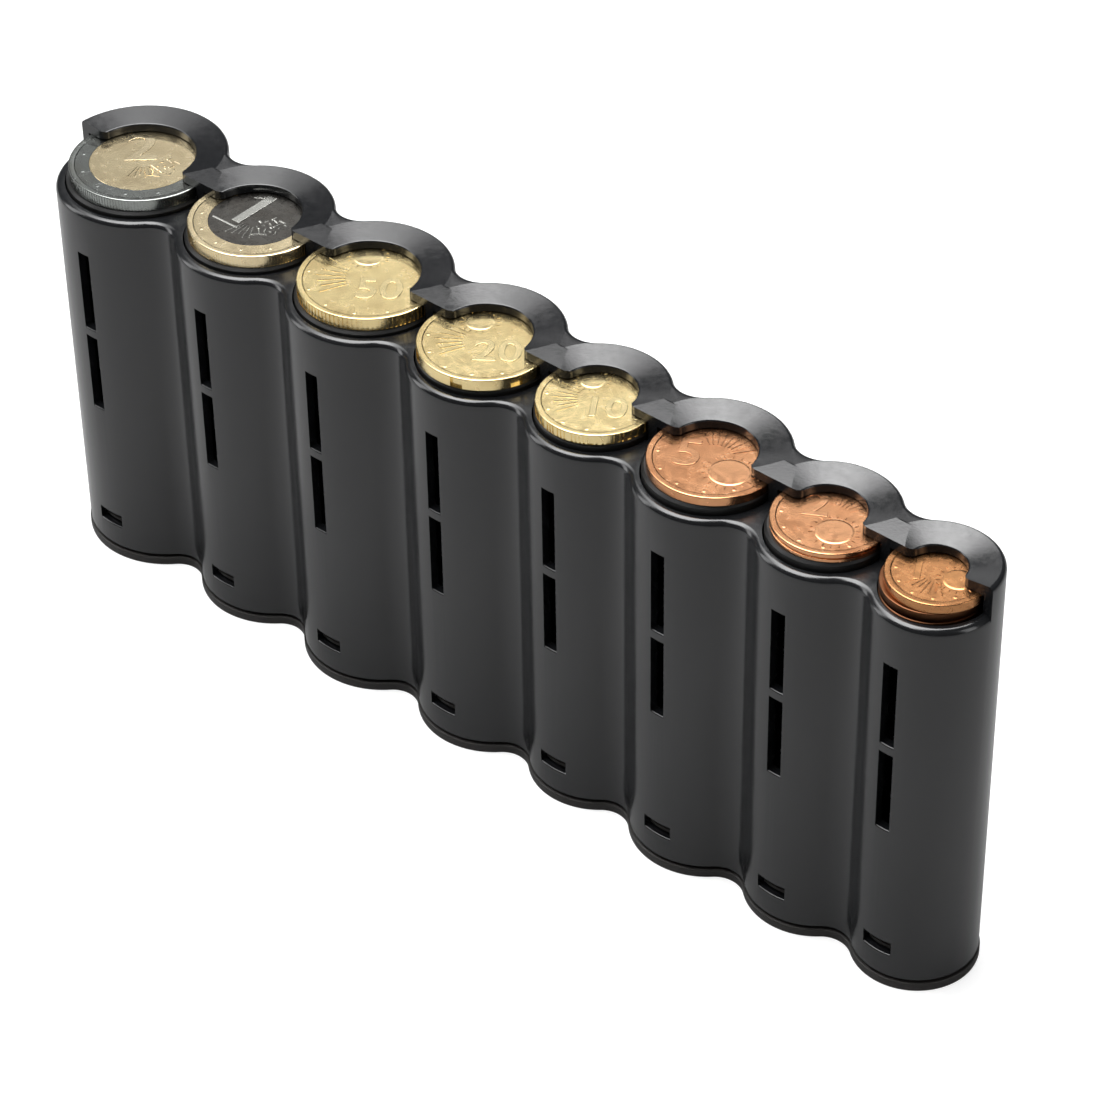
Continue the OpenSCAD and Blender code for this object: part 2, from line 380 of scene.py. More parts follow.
def settle(piece: Piece, body: str, node: str) -> None:
    """Scales a finished piece to metres, ties it to its body and hides the node that it stands for.

    Args:
        piece: The finished piece, in millimetres.
        body: Body that it rides on.
        node: Node of the solid model that it stands for.
    """
    piece.scale = (MM, MM, MM)
    apply_place(piece)
    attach(piece, body)
    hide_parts(node)
    LOG.info("%s: %d faces, on %s", piece.name, len(piece.data.polygons), body)


def add_node(tree: bpy.types.NodeTree, kind: str, **values: object) -> bpy.types.Node:
    """Adds a node and sets its plain properties and inputs.

    Args:
        tree: The material's or world's nodes.
        kind: Type of the node.
        values: Properties by their own names, inputs by name with underscores for spaces.

    Returns:
        The new node.
    """
    node = tree.nodes.new(kind)
    for key, value in values.items():
        if hasattr(node, key):
            setattr(node, key, value)
        else:
            node.inputs[key.replace("_", " ")].default_value = value
    return node


class Recipe:
    """A material under construction, with its shader and shared coordinates."""

    def __init__(self, name: str) -> None:
        """Starts a material of that name."""
        self.material = bpy.data.materials.new(name)
        self.material.use_nodes = True
        self.tree = self.material.node_tree
        self.shader = self.tree.nodes["Principled BSDF"]
        self.coordinates = add_node(self.tree, "ShaderNodeTexCoord")

    def link(self, source: Socket, target: Socket) -> None:
        """Wires one socket to another."""
        self.tree.links.new(source, target)

    def noise(self, scale: float, detail: float, stretch: Triple | None = None) -> Socket:
        """Noise over the piece.

        Args:
            scale: Cycles a metre.
            detail: Number of finer layers.
            stretch: Scale along each axis before that, if the noise is drawn out.

        Returns:
            The socket with the noise value.
        """
        node = add_node(self.tree, "ShaderNodeTexNoise", Scale=scale, Detail=detail)
        source = self.coordinates.outputs["Object"]
        if stretch:
            mapping = add_node(self.tree, "ShaderNodeMapping", Scale=stretch)
            self.link(source, mapping.inputs["Vector"])
            source = mapping.outputs["Vector"]
        self.link(source, node.inputs["Vector"])
        return node.outputs["Fac"]

    def spread(
        self, source: Socket, low: float, high: float, start: float = 0.3, end: float = 0.7
    ) -> Socket:
        """Spreads the middle of a noise over a range.

        Args:
            source: The noise value.
            low: Result at the start.
            high: Result at the end.
            start: Noise value that gives low.
            end: Noise value that gives high.

        Returns:
            The socket with the spread value.
        """
        node = add_node(
            self.tree, "ShaderNodeMapRange", From_Min=start, From_Max=end, To_Min=low, To_Max=high
        )
        self.link(source, node.inputs["Value"])
        return node.outputs["Result"]

    def blend(self, share: Socket, first: Colour, second: Colour) -> Socket:
        """Mixes two colours by a share.

        Args:
            share: Socket with the share of the second colour.
            first: Colour at share 0.
            second: Colour at share 1.

        Returns:
            The socket with the mixed colour.
        """
        node = add_node(self.tree, "ShaderNodeMix", data_type="RGBA")
        sockets = {socket.identifier: socket for socket in (*node.inputs, *node.outputs)}
        sockets["A_Color"].default_value = (*first, 1)
        sockets["B_Color"].default_value = (*second, 1)
        self.link(share, sockets["Factor_Float"])
        return sockets["Result_Color"]

    def bump(self, heights: list[tuple[Socket, float, float]]) -> None:
        """Stacks bumps and gives them to the shader.

        Args:
            heights: For each layer its height socket, its strength and its depth in metres.
        """
        under = None
        for height, strength, depth in heights:
            node = add_node(self.tree, "ShaderNodeBump", Strength=strength, Distance=depth)
            self.link(height, node.inputs["Height"])
            if under:
                self.link(under, node.inputs["Normal"])
            under = node.outputs["Normal"]
        self.feed(under, "Normal")

    def feed(self, source: Socket, name: str) -> None:
        """Wires a socket to the shader's input of that name."""
        self.link(source, self.shader.inputs[name])

    def set(self, **values: object) -> None:
        """Sets inputs of the shader, by name with underscores for spaces."""
        for key, value in values.items():
            self.shader.inputs[key.replace("_", " ")].default_value = value


def lighter(colour: Colour, by: float) -> Colour:
    """Colour times a factor.

    Args:
        colour: Linear colour.
        by: Factor.

    Returns:
        The new colour.
    """
    return tuple(min(1.0, part * by) for part in colour)


@dataclass(frozen=True)
class MouldedPlastic:
    """Charcoal plastic with a fine eroded grain, flow clouds and faint upright scuffs."""

    name: str
    colour: Colour
    roughness: float = 0.4
    grain_depth: float = 0.000012
    specular: float = 0.5

    def make(self) -> Finish:
        """Builds the material."""
        recipe = Recipe(self.name)
        clouds = recipe.noise(scale=38, detail=3)
        scuffs = recipe.noise(scale=1, detail=4, stretch=(900, 900, 60))
        grain = recipe.noise(scale=2600, detail=2)
        pits = recipe.noise(scale=520, detail=4)
        share = recipe.spread(clouds, low=0, high=1, start=0.35, end=0.65)
        colour = recipe.blend(share, lighter(self.colour, 0.86), lighter(self.colour, 1.16))
        recipe.feed(colour, "Base Color")
        rough = add_node(recipe.tree, "ShaderNodeMath", operation="ADD")
        dull = recipe.spread(clouds, self.roughness - 0.03, self.roughness + 0.03)
        recipe.link(dull, rough.inputs[0])
        scuffed = recipe.spread(scuffs, low=-0.03, high=0.05, start=0.35, end=0.75)
        recipe.link(scuffed, rough.inputs[1])
        recipe.feed(rough.outputs[0], "Roughness")
        recipe.bump([(pits, 0.25, self.grain_depth * 2), (grain, 0.5, self.grain_depth)])
        recipe.set(Specular_IOR_Level=self.specular)
        return recipe.material


@dataclass(frozen=True)
class StruckMetal:
    """Coin metal that has been in use: tarnish clouds, fine scratches and small dents."""

    name: str
    colour: Colour
    tarnish: Colour
    roughness: float = 0.27
    tarnish_start: float = 0.42

    def make(self) -> Finish:
        """Builds the material."""
        recipe = Recipe(self.name)
        clouds = recipe.noise(scale=150, detail=3)
        dents = recipe.noise(scale=900, detail=2)
        along = recipe.noise(scale=1, detail=3, stretch=(260, 4200, 700))
        across = recipe.noise(scale=1, detail=3, stretch=(3800, 320, 700))
        start = self.tarnish_start
        share = recipe.spread(clouds, low=0, high=0.7, start=start, end=start + 0.35)
        colour = recipe.blend(share, self.colour, self.tarnish)
        recipe.feed(colour, "Base Color")
        rough = recipe.spread(dents, self.roughness - 0.03, self.roughness + 0.06)
        recipe.feed(rough, "Roughness")
        recipe.bump([(dents, 0.3, 0.000009), (along, 0.15, 0.000005), (across, 0.15, 0.000005)])
        recipe.set(Metallic=1.0)
        return recipe.material


@dataclass(frozen=True)
class DrawnWire:
    """Dark drawn steel wire with faint rings from the die."""

    name: str
    colour: Colour

    def make(self) -> Finish:
        """Builds the material."""
        recipe = Recipe(self.name)
        rings = recipe.noise(scale=1, detail=2, stretch=(300, 300, 2600))
        share = recipe.spread(recipe.noise(scale=400, detail=3), low=0, high=1)
        colour = recipe.blend(share, self.colour, lighter(self.colour, 1.5))
        recipe.feed(colour, "Base Color")
        rough = recipe.spread(rings, low=0.3, high=0.45)
        recipe.feed(rough, "Roughness")
        recipe.bump([(rings, 0.2, 0.00001)])
        recipe.set(Metallic=0.9)
        return recipe.material


@dataclass(frozen=True)
class Row:
    """Plan and levels of the row of tubes, numbered from 1 at the left, in millimetres."""

    coin_d: tuple[float, ...] = (25.75, 23.25, 24.25, 22.25, 19.75, 21.25, 18.75, 16.25)
    coin_t: tuple[float, ...] = (2.2, 2.33, 2.38, 2.14, 1.93, 1.67, 1.67, 1.67)
    core_d: tuple[float, ...] = (18.75, 16.25)
    coin_gap: float = 0.57
    wall: float = 1.58
    web: float = 1.81
    valley_r: float = 4.8
    lip_reach: float = 3.5
    block_z: float = 2.0
    floor_z: float = 3.4
    rim_z: float = 73.2
    lip_z: float = 76.4
    dish_z: float = 77.8
    top_z: float = 78.55
    arc_step: float = 3.0

    @property
    def tubes(self) -> range:
        """Numbers of the tubes."""
        return range(1, len(self.coin_d) + 1)

    def coin_r(self, i: int) -> float:
        """Radius of the coin in tube i."""
        return self.coin_d[i - 1] / 2

    def bore_r(self, i: int) -> float:
        """Radius of the bore of tube i."""
        return self.coin_r(i) + self.coin_gap

    def tube_r(self, i: int) -> float:
        """Outer radius of tube i."""
        return self.bore_r(i) + self.wall

    def cut_r(self, i: int) -> float:
        """Radius of the thumb cut-out over the coin in tube i."""
        return self.coin_r(i) - self.lip_reach

    def pitch(self, i: int) -> float:
        """Distance from the axis of tube i to the next one."""
        return self.bore_r(i) + self.web + self.bore_r(i + 1)

    def axis_x(self, i: int) -> float:
        """Place of the axis of tube i along the row."""
        last = len(self.coin_d)
        run = sum(self.pitch(k) for k in range(1, last))
        length = self.tube_r(1) + run + self.tube_r(last)
        return self.tube_r(1) - length / 2 + sum(self.pitch(k) for k in range(1, i))

    def hollow(self, i: int) -> Pair:
        """Distance of the hollow's arc centre from the axis of tube i, along and out of the row."""
        pitch, left = self.pitch(i), self.tube_r(i) + self.valley_r
        right = self.tube_r(i + 1) + self.valley_r
        along = (pitch**2 + left**2 - right**2) / (2 * pitch)
        return along, math.sqrt(left**2 - along**2)

    def arc(self, centre: Pair, radius: float, start: float, end: float) -> Plan:
        """Points of an arc without its last one.

        Args:
            centre: Centre of the arc.
            radius: Its radius.
            start: First angle in degrees.
            end: Last angle in degrees.

        Returns:
            The points in order.
        """
        count = max(2, round(abs(end - start) / self.arc_step))
        angles = [math.radians(start + (end - start) * n / count) for n in range(count)]
        x, y = centre
        return [(x + radius * math.cos(a), y + radius * math.sin(a)) for a in angles]

    def outline(self, grow: float = 0.0) -> Plan:
        """Scalloped outline of the row.

        Args:
            grow: Distance by which it is grown outwards.

        Returns:
            The points, counterclockwise from the left end.
        """
        front: Plan = []
        start = -180.0
        for i in self.tubes:
            x, radius = self.axis_x(i), self.tube_r(i) + grow
            if i == len(self.coin_d):
                front += self.arc((x, 0), radius, start, 0)
                break
            along, out = self.hollow(i)
            end = math.degrees(math.atan2(-out, along))
            front += self.arc((x, 0), radius, start, end)
            start = math.degrees(math.atan2(-out, along - self.pitch(i)))
            centre = (x + along, -out)
            front += self.arc(centre, self.valley_r - grow, end + 180, start + 180)
        left = (front[0][0], 0.0)
        right = (self.axis_x(len(self.coin_d)) + self.tube_r(len(self.coin_d)) + grow, 0.0)
        inner = front[1:]
        return [left, *inner, right, *[(x, -y) for x, y in reversed(inner)]]


@dataclass
class TubeBlock:
    """One moulding with the eight bores, the scalloped wall, the collar and the sight slots.

    Each of the slots is a width, the level of its sill and a height. The last is the latch window.
    """

    row: Row
    finish: Finish
    rim_edge_r: float = 1.1
    collar_edge_r: float = 1.0
    lip_corner_r: float = 1.5
    lip_edge_r: float = 0.3
    collar_root: float = 4.0
    cut_front: float = 3.0
    bore_sides: int = 144
    sill_sides: int = 288
    rim_steps: int = 7
    collar_steps: int = 5
    lip_steps: int = 4
    sill_steps: int = 6
    pad_depth: float = 4.2
    pad_front_t: float = 1.5
    pad_rise: float = 0.55
    pad_draw: Pair = (1.4, 3.4)
    seam_open: float = 0.35
    sill_r: float = 0.3
    pad_slope: Pair = (0.03, 0.25)
    pad_twist: float = 0.01
    dish_slope: Pair = (0.05, 0.3)
    slots: tuple[Triple, ...] = (
        (2.72, 32.3, 15.2),
        (2.72, 49.1, 15.6),
        (5.47, 6.7, 2.6),
    )

    def wall(self) -> Piece:
        """Solid row with its rounded front rim and the raised half behind it."""
        row = self.row
        body = plate("tube_block", row.outline(), row.block_z + self.seam_open, row.rim_z)
        round_top(body, row.rim_z, self.rim_edge_r, self.rim_steps)
        raised = plate("collar", row.outline(), row.rim_z - self.collar_root, row.top_z)
        round_top(raised, row.top_z, self.collar_edge_r, self.collar_steps)
        with editing(raised):
            bpy.ops.mesh.select_all(action="SELECT")
            bpy.ops.mesh.bisect(
                plane_co=(0, 0, 0), plane_no=(0, 1, 0), use_fill=True, clear_inner=True
            )
        carve(body, outward(raised), Cut.TOGETHER)
        return body

    def bores(self, first: int) -> Piece:
        """Cutter for every second bore, with the lip's step and the dish over it.

        Args:
            first: Number of the first tube.

        Returns:
            The joined cutter.
        """
        row = self.row
        parts = []
        for i in row.tubes[first - 1 :: 2]:
            crest = row.tube_r(i) - self.collar_edge_r / 2
            lip = row.cut_r(i)
            slope = math.atan2(row.top_z - row.dish_z, crest - lip)
            reach = self.lip_edge_r * math.tan((math.pi / 2 - slope) / 2)
            profile = [
                (row.bore_r(i), row.block_z - BEYOND),
                (row.bore_r(i), row.lip_z),
                (lip, row.lip_z),
                (lip, row.dish_z - reach),
            ]
            for n in range(1, self.lip_steps + 1):
                turn = (math.pi / 2 - slope) * n / self.lip_steps
                out = lip + self.lip_edge_r * (1 - math.cos(turn))
                profile.append((out, row.dish_z - reach + self.lip_edge_r * math.sin(turn)))
            profile += [(crest, row.top_z), (crest, row.top_z + BEYOND)]
            parts.append(turned("bore", profile, (row.axis_x(i), 0), self.bore_sides))
        return join("bores", parts)

    def cutouts(self) -> Piece:
        """Cutter for the thumb cut-outs, whose corners are rounded at the straight front edge."""
        row, corner = self.row, self.lip_corner_r
        parts = []
        for i in row.tubes:
            x, radius = row.axis_x(i), row.cut_r(i)
            reach = math.sqrt((radius + corner) ** 2 - corner**2)
            turn = math.degrees(math.atan2(corner, reach))
            right = row.arc((x + reach, corner), corner, 270, 180 + turn)
            inner = row.arc((x, 0), radius, turn, 180 - turn)
            left = row.arc((x - reach, corner), corner, -turn, -90)
            front = [(x - reach, -self.cut_front), (x + reach, -self.cut_front)]
            plan = [*front, *right, *inner, *left, (x - reach, 0)]
            parts.append(plate("cutout", plan, row.lip_z - BEYOND / 2, row.top_z + BEYOND))
        return join("cutouts", parts)

    def sill(self, i: int, width: float, low: float) -> Piece:
        """Cutter that rounds the outer edge of an opening's sill.

        Args:
            i: Number of the tube.
            width: Width of the opening.
            low: Height of the sill.

        Returns:
            The closed form.
        """
        x, out, r = self.row.axis_x(i), self.row.tube_r(i), self.sill_r
        profile = [(out, low - BEYOND)]
        for n in range(self.sill_steps + 1):
            turn = math.radians(90 / self.sill_steps * n)
            profile.append((out - r + r * math.cos(turn), low - r + r * math.sin(turn)))
        half, inner, high = width / 2, BEYOND / 2 - out, low + BEYOND / 5
        cutter = block("sill", (x - half, -out - BEYOND, low - r), (x + half, inner, high))
        carve(cutter, turned("lip", profile, (x, 0), self.sill_sides), Cut.AWAY)
        return cutter

    def openings(self) -> Piece:
        """Cutter for the sight slots and the latch windows."""
        row = self.row
        parts = []
        for i in row.tubes:
            x = row.axis_x(i)
            for width, low, height in self.slots:
                near = (x - width / 2, -row.tube_r(i) - BEYOND, low)
                far = (x + width / 2, -row.bore_r(i) / 2, low + height)
                parts.append(block("opening", near, far))
        return join("openings", parts)

    def pads(self) -> Piece:
        """Cutter for the sloping pads on the collar's front edge."""
        row = self.row
        low = row.lip_z + self.pad_front_t
        parts = []
        for i in row.tubes[:-1]:
            x0 = row.axis_x(i) + row.cut_r(i)
            x1 = row.axis_x(i + 1) - row.cut_r(i + 1)
            left, right = self.pad_draw
            back = [(x1 - right, self.pad_depth), (x0 + left, self.pad_depth)]
            plan = [(x0, -BEYOND), (x1, -BEYOND), (x1, 0), *back, (x0, 0)]
            pad = plate("pad", plan, low, row.top_z + BEYOND)
            for corner in pad.data.vertices:
                if corner.co.z < low + NEAR:
                    corner.co.z += self.pad_rise * max(0.0, corner.co.y) / self.pad_depth
            parts.append(pad)
        return join("pads", parts)

    def on_pad(self, middle: Vector, normal: Vector) -> bool:
        """Whether a face is one of the sloping pads."""
        least, most = self.pad_slope
        level = abs(normal.x) < self.pad_twist
        return middle.z > self.row.lip_z and level and least < -normal.y < most

    def on_dish(self, middle: Vector, normal: Vector, i: int) -> bool:
        """Whether a face is part of the dished ring round tube i."""
        out = Vector((middle.x - self.row.axis_x(i), middle.y))
        if not self.row.cut_r(i) < out.length < self.row.tube_r(i) or middle.z < self.row.lip_z:
            return False
        least, most = self.dish_slope
        inward = -normal.xy.dot(out.normalized())
        return least < inward < most and not self.on_pad(middle, normal)

    def build(self) -> None:
        """Shapes and dresses the moulding."""
        piece = self.wall()
        carve(piece, self.bores(1), Cut.AWAY)
        carve(piece, self.bores(2), Cut.AWAY)
        for cutter in (self.cutouts, self.pads, self.openings):
            carve(piece, cutter(), Cut.AWAY)
        sills = [self.sill(i, width, low) for i in self.row.tubes for width, low, _ in self.slots]
        carve(piece, join("sills", sills), Cut.AWAY)
        smooth(piece, MOULDED_SHARP)
        crease(piece, self.on_pad)
        for i in self.row.tubes:
            crease(piece, lambda middle, normal: self.on_dish(middle, normal, i))
        paint(piece, self.finish)
        settle(piece, "housing", "tube_block")


@dataclass
class BaseCover:
    """Thin plate under the tubes with a seam land, a plug and peg in each bore, and latches."""

    row: Row
    finish: Finish
    cover_t: float = 1.7
    proud: float = 0.2
    seam_depth: float = 0.9
    top_edge_r: float = 0.25
    foot_edge_r: float = 0.35
    edge_steps: int = 3
    land_root: float = 0.5
    plug_clear: float = 0.1
    plug_root: float = 0.8
    plug_edge: float = 0.2
    peg_edge: float = 0.5
    peg_h: float = 2.4
    peg_in: float = 0.75
    wire_in: float = 2.85
    turn_steps: int = 8
    latch_w: float = 4.87
    latch_t: float = 1.1
    latch_top: float = 9.0
    latch_root: float = 0.3
    nose_z: float = 7.0
    nose_h: float = 0.55
    nose: float = 0.4

    def latch(self, i: int) -> Piece:
        """Latch that stands at the front of a plug, with its nose drawn outwards.

        Args:
            i: Number of the tube.

        Returns:
            The closed form.
        """
        row = self.row
        x, outer = row.axis_x(i), row.bore_r(i) - self.plug_clear
        inner = outer - self.latch_t
        turn = math.degrees(math.asin(self.latch_w / 2 / outer))
        back = math.degrees(math.asin(self.latch_w / 2 / inner))
        plan = row.arc((x, 0), outer, -90 - turn, -90 + turn)
        plan.append((x + self.latch_w / 2, -outer * math.cos(math.radians(turn))))
        plan += row.arc((x, 0), inner, -90 + back, -90 - back)
        plan.append((x - self.latch_w / 2, -inner * math.cos(math.radians(back))))
        piece = plate("latch", plan, row.floor_z - self.latch_root, self.latch_top)
        grow = (row.bore_r(i) + self.nose) / outer
        top = self.nose_z + self.nose_h

        def on_nose(middle: Vector, normal: Vector) -> bool:
            """Whether a face is an outer one between the nose's two levels."""
            outside = math.hypot(middle.x - x, middle.y) > outer - self.nose / 2
            return self.nose_z < middle.z < top and outside and abs(normal.x) < 0.9

        with editing(piece):
            for level in (self.nose_z, top):
                bpy.ops.mesh.select_all(action="SELECT")
                bpy.ops.mesh.bisect(plane_co=(0, 0, level), plane_no=(0, 0, 1))
            pick(piece, on_nose)
            bpy.ops.mesh.extrude_region_move()
            bpy.ops.transform.resize(value=(1, grow, 1), center_override=(x, 0, self.nose_z))
        return outward(piece)

    def build(self) -> None:
        """Shapes and dresses the cover."""
        row = self.row
        piece = plate("base_cover", row.outline(self.proud), 0, self.cover_t)
        round_top(piece, self.cover_t, self.top_edge_r, self.edge_steps)
        round_edges(piece, lambda a, b: max(a.z, b.z) < NEAR, self.foot_edge_r, self.edge_steps)
        land_low = self.cover_t - self.land_root
        land = plate("land", row.outline(-self.seam_depth), land_low, row.block_z)
        carve(piece, land, Cut.TOGETHER)
        plugs = []
        for i in row.tubes:
            wide = row.bore_r(i) - self.plug_clear
            spring_r = (row.bore_r(i) - self.wire_in) * math.cos(math.pi / self.turn_steps)
            narrow = spring_r - self.peg_in
            profile = [
                (wide, row.block_z - self.plug_root),
                (wide, row.floor_z - self.plug_edge),
                (wide - self.plug_edge, row.floor_z),
                (narrow, row.floor_z),
                (narrow, row.floor_z + self.peg_h - self.peg_edge),
                (narrow - self.peg_edge, row.floor_z + self.peg_h),
            ]
            plugs.append(turned("plug", profile, (row.axis_x(i), 0)))
        carve(piece, join("plugs", plugs), Cut.TOGETHER)
        carve(piece, join("latches", [self.latch(i) for i in row.tubes]), Cut.TOGETHER)
        smooth(piece, MOULDED_SHARP)
        paint(piece, self.finish)
        settle(piece, "housing", "base_cover")


@dataclass
class TubeSpring:
    """Compression spring of one tube, of round wire with closed end turns."""

    row: Row
    finish: Finish
    number: int
    travel: float
    wire_r: float = 0.35
    turns: int = 10
    sides: int = 10
    steps: int = 36
    turn_gap: float = 0.02
    weld: float = 0.002

    def coil(self, radius: float, start: float, rise: float, turns: int) -> Piece:
        """Run of turns with an even rise.

        Args:
            radius: Radius of the wire's middle line.
            start: Level of its start.
            rise: Rise over the whole run.
            turns: Number of turns.

        Returns:
            The open tube of wire.
        """
        deselect()
        bpy.ops.mesh.primitive_circle_add(
            vertices=self.sides,
            radius=self.wire_r,
            location=(radius, 0, start),
            rotation=(math.pi / 2, 0, 0),
        )
        piece = bpy.context.object
        apply_place(piece)
        steps = self.steps * turns
        modify(
            piece, "SCREW", angle=2 * math.pi * turns, screw_offset=rise,
            steps=steps, render_steps=steps, use_smooth_shade=True,
        )
        return piece

    def build(self) -> None:
        """Winds, closes and dresses the spring."""
        low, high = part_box(f"spring_{self.number}")
        x = self.row.axis_x(self.number)
        radius = (high.x - low.x) / 2 / MM - self.wire_r
        start, end = low.z / MM + self.wire_r, high.z / MM - self.wire_r
        lead = 2 * self.wire_r + self.turn_gap
        middle = end - start - 2 * lead
        parts = [
            self.coil(radius, start, lead, 1),
            self.coil(radius, start + lead, middle, self.turns - 2),
            self.coil(radius, start + lead + middle, lead, 1),
        ]
        piece = join(f"tube_{self.number}_spring", parts)
        with editing(piece, Kind.EDGES):
            bpy.ops.mesh.select_all(action="SELECT")
            bpy.ops.mesh.remove_doubles(threshold=self.weld)
            bpy.ops.mesh.select_all(action="DESELECT")
            bpy.ops.mesh.select_non_manifold()
            bpy.ops.mesh.edge_face_add()
        for corner in piece.data.vertices:
            corner.co.x += x
        outward(piece)
        smooth(piece, DRAWN_SHARP)
        paint(piece, self.finish)
        settle(piece, "housing", f"spring_{self.number}")
        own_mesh(piece)


def ray(angle: float) -> Vector:
    """Level direction at an angle in radians."""
    return Vector((math.cos(angle), math.sin(angle)))


class Edge(Enum):
    """How the rim of a coin is worked all round."""

    SMOOTH = "smooth"
    FINE_RIBS = "fine ribs"
    COARSE_RIBS = "coarse ribs"
    NOTCHES = "notches"
    GROOVE = "groove"


@dataclass(frozen=True)
class Figure:
    """Raised plain number on a coin's face."""

    text: str
    size: float
    place: Pair
    turn: float


@dataclass(frozen=True)
class CoinKind:
    """One kind of coin: its edge and the plain work on its faces, in millimetres and degrees.

    The boss is its place and radius, the fan its direction, inner and outer reach and number of
    lines, each stroke its two ends, and the flecks their patch's place and reach and their number.
    """

    number: int
    edge: Edge
    figure: Figure
    boss: Triple
    fan: tuple[float, float, float, int]
    ribs: int
    dots: int = 12
    strokes: tuple[tuple[float, float, float, float], ...] = ()
    flecks: tuple[float, float, float, int] = (0, 0, 0, 0)


@dataclass
class CoinMaker:
    """Strikes a coin of one kind about the origin, with its underside at level 0.

    The rim's foot is in steps out from its inner edge, each with its share of the rim's height. The
    groove is half its mouth, half its floor and its depth. A boss slopes in steps of a share of the
    slope's width and a share of the boss's height. A tick is its two ends out from the boss and its
    width. Flecks have a least half length or width and what each next one adds.
    """

    row: Row
    kind: CoinKind
    face: Finish
    relief: Finish
    core_face: Finish | None = None
    core_relief: Finish | None = None
    rim_w: float = 0.9
    rim_h: float = 0.13
    rim_foot: tuple[Pair, ...] = ((-0.22, 1.0), (-0.06, 0.2), (0.1, 0.0))
    edge_r: float = 0.15
    groove: Triple = (0.25, 0.16, 0.22)
    corner: float = 0.3
    hub: float = 1.0
    skin: float = 0.2
    notches: int = 7
    notch_start: float = 288
    notch_half: float = 2.2
    core_edge: float = 0.08
    core_sides: int = 128
    root: float = 0.05
    boss_h: float = 0.05
    boss_slope: tuple[Pair, ...] = ((0.02, 0.0), (0.3, 0.45), (0.6, 0.82), (1.0, 1.0))
    slope_share: float = 0.5
    slope_run: float = 9
    crown: float = 0.3
    boss_sides: int = 48
    dot_sides: int = 20
    ticks: int = 18
    tick: Triple = (0.35, 0.95, 0.16)
    bar_h: float = 0.09
    fan_step: float = 11
    fan_stagger: float = 0.35
    fan_w: float = 0.2
    stroke_w: float = 0.5
    fleck_turn: float = 2.4
    fleck_stretch: float = 1.4
    fleck_half: Pair = (0.3, 0.15)
    fleck_w: Pair = (0.3, 0.08)
    dot_r: float = 0.32
    dot_h: float = 0.02
    dot_in: float = 0.9

    @property
    def radius(self) -> float:
        """Radius of the coin."""
        return self.row.coin_r(self.kind.number)

    @property
    def thickness(self) -> float:
        """Thickness of the coin at its rim."""
        return self.row.coin_t[self.kind.number - 1]

    @property
    def field_z(self) -> float:
        """Level of the upper face inside its rim."""
        return self.thickness - self.rim_h

    @property
    def core_r(self) -> float:
        """Radius of the inner disc, or 0 where the coin is of one metal."""
        cores = self.row.core_d
        return cores[self.kind.number - 1] / 2 if self.kind.number <= len(cores) else 0.0

    def blank(self) -> Piece:
        """Coin with its raised rim and worked edge, but bare faces.

        Returns:
            The closed form.
        """
        r, t, h, e = self.radius, self.thickness, self.rim_h, self.edge_r
        inner = r - self.rim_w
        waist = [(r, e), (r, t - e)]
        if self.kind.edge is Edge.GROOVE:
            mouth, floor, depth = self.groove
            low = [(r, t / 2 - mouth), (r - depth, t / 2 - floor)]
            high = [(r - depth, t / 2 + floor), (r, t / 2 + mouth)]
            waist[1:1] = [*low, *high]
        near = e * self.corner
        lower = [(self.core_r if self.core_r else self.hub, h)]
        lower += [(inner + out, h * share) for out, share in self.rim_foot]
        lower += [(r - e, 0), (r - near, near)]
        profile = [*lower, *waist, *[(out, t - level) for out, level in reversed(lower)]]
        piece = turned("coin", profile, (0, 0), 2 * self.kind.ribs)
        if self.core_r:
            with editing(piece):
                pick(piece, lambda middle, normal: middle.xy.length < NEAR)
                bpy.ops.mesh.bridge_edge_loops()
            outward(piece)
        self.work_edge(piece)
        return piece

    def work_edge(self, piece: Piece) -> None:
        """Ribs or notches all round.

        Args:
            piece: The bare coin.
        """
        r, t, steps = self.radius, self.thickness, 2 * self.kind.ribs
        depths = {Edge.FINE_RIBS: 0.07, Edge.COARSE_RIBS: 0.13, Edge.NOTCHES: 0.5}
        depth = depths.get(self.kind.edge)
        if depth is None:
            return
        clear = self.edge_r + NEAR

        def sunk(middle: Vector, normal: Vector) -> bool:
            """Whether a face of the edge lies in a rib's valley or in a notch."""
            if middle.xy.length < r - self.skin or not clear < middle.z < t - clear:
                return False
            step = (math.degrees(math.atan2(middle.y, middle.x)) / 360 * steps) % steps
            if self.kind.edge is Edge.NOTCHES:
                gap = steps / self.notches
                away = (step - steps * self.notch_start / 360 + gap / 2) % gap - gap / 2
                return abs(away) < self.notch_half
            return int(step) % 2 == 0

        with editing(piece):
            pick(piece, sunk)
            bpy.ops.mesh.extrude_region_move()
            grow = (r - depth) / r
            bpy.ops.transform.resize(value=(grow, grow, 1), center_override=(0, 0, t / 2))
        outward(piece)

    def number_relief(self) -> Piece:
        """Raised number with softened edges."""
        figure = self.kind.figure
        deselect()
        bpy.ops.object.text_add(location=(0, 0, 0))
        text = bpy.context.object
        text.data.body = figure.text
        text.data.size = figure.size
        text.data.align_x = "CENTER"
        text.data.align_y = "CENTER"
        text.data.resolution_u = 5
        text.data.offset = 0.012 * figure.size
        text.data.extrude = 0.02
        text.data.bevel_depth = 0.065
        text.data.bevel_resolution = 2
        bpy.ops.object.convert(target="MESH")
        piece = bpy.context.object
        piece.rotation_euler = (0, 0, math.radians(figure.turn))
        piece.location = (*figure.place, self.field_z + NEAR)
        apply_place(piece)
        return piece

